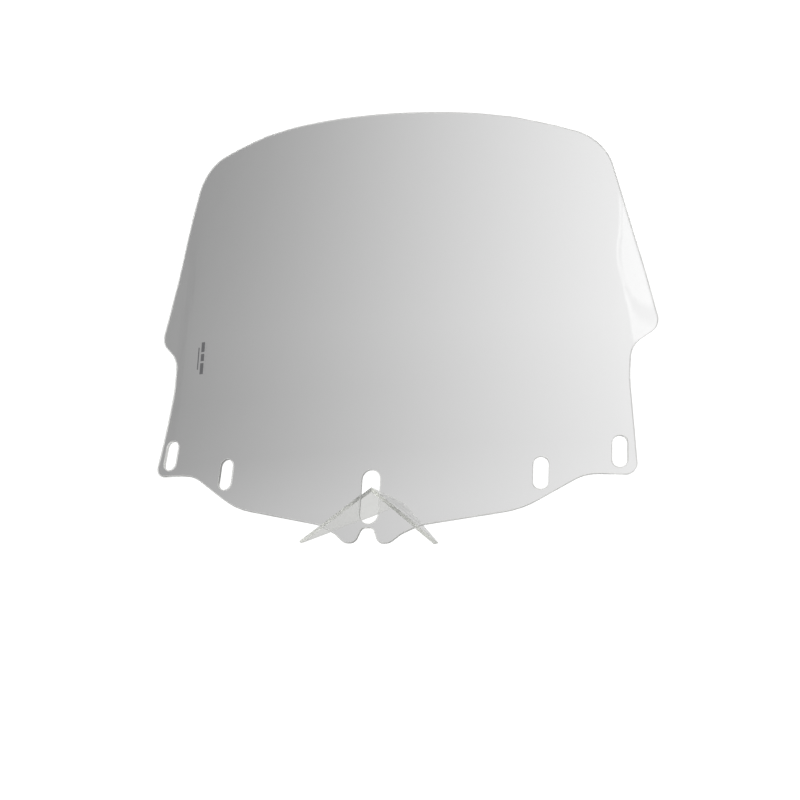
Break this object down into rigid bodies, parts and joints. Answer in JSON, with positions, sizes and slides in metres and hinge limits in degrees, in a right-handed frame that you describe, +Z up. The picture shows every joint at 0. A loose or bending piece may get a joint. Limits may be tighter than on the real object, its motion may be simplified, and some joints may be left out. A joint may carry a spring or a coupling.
{
  "type": "windshield screen",
  "caption": "Clear one-piece curved motorcycle windshield screen with upright mounting slots along its lower edge, leaning on a clear two-plate display stand.",
  "frame": {"origin": "on the floor, on the mirror plane, at the middle of the overall box's base", "axes": "+X to the right as seen from the front, +Y back toward the rider, +Z up; the screen leans back 15 degrees"},
  "size_m": [0.755, 0.305, 0.5664],
  "materials": {
    "clear_sheet": "gloss",
    "clear_plate": "gloss"
  },
  "bodies": {
    "stand": {"stand_left_plate": "clear_plate", "stand_right_plate": "clear_plate"},
    "screen": {"screen": "clear_sheet"}
  },
  "joints": [
    {"name": "screen_lift", "type": "slide", "parent": "stand", "child": "screen", "axis": [0, 0.2588, 0.9659], "range_m": [0, 0.16]}
  ]
}
